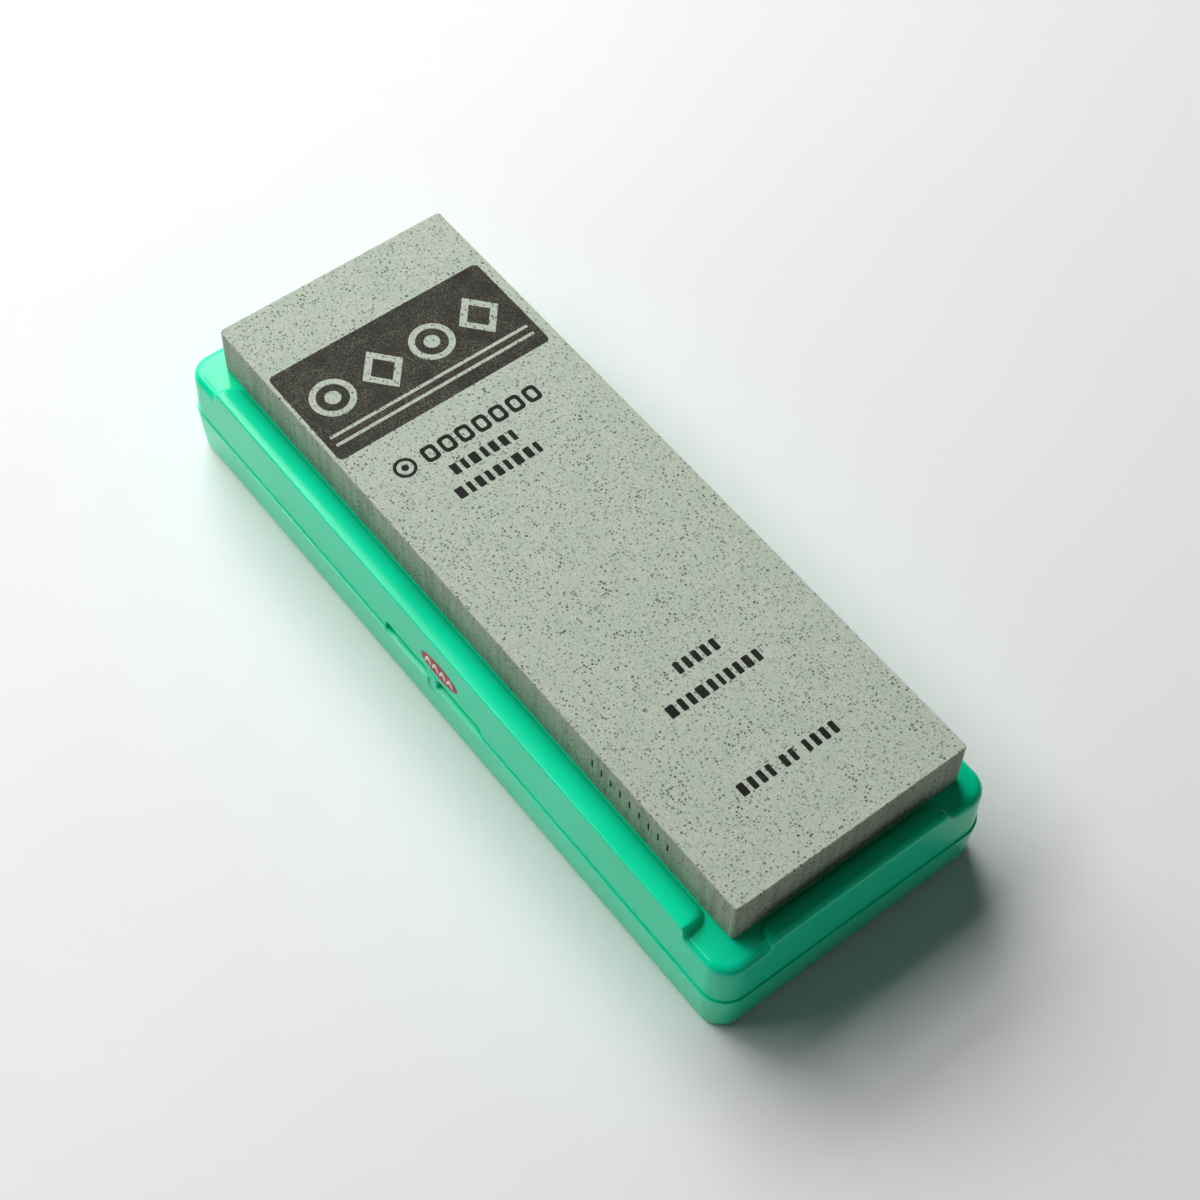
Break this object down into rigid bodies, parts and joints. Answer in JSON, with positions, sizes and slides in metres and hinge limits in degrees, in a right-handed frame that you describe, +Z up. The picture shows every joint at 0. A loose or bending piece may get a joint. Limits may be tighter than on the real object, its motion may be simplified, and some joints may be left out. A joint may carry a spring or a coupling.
{
  "type": "whetstone with storage case",
  "caption": "Fine ceramic bench whetstone resting in the railed seat of its hinged translucent green plastic storage case, which doubles as the sharpening base.",
  "frame": {"origin": "middle of the case's underside, on the surface it stands on", "axes": "+X along the stone, +Y towards the hinge side (the catch and the label are on -Y), +Z up through the stone's working face"},
  "size_m": [0.2256, 0.0933, 0.0447],
  "materials": {
    "ceramic_grit": "matt, fine dark speckle, lapped flat",
    "green_plastic": "satin gloss, translucent",
    "pin_steel": "drawn wire",
    "red_label": "printed film, satin"
  },
  "bodies": {
    "base": {"case_base": "green_plastic", "hinge_pin_left": "pin_steel", "hinge_pin_right": "pin_steel"},
    "lid": {"case_lid": "green_plastic", "open_label": "red_label"},
    "stone": {"whetstone": "ceramic_grit"}
  },
  "joints": [
    {"name": "lid_hinge", "type": "hinge", "parent": "base", "child": "lid", "pos_m": [0, 0.0457, 0.0148], "axis": [-1, 0, 0], "range_deg": [0, 115]},
    {"name": "stone_lift", "type": "slide", "parent": "lid", "child": "stone", "axis": [0, 0, 1], "range_m": [0, 0.02]}
  ]
}
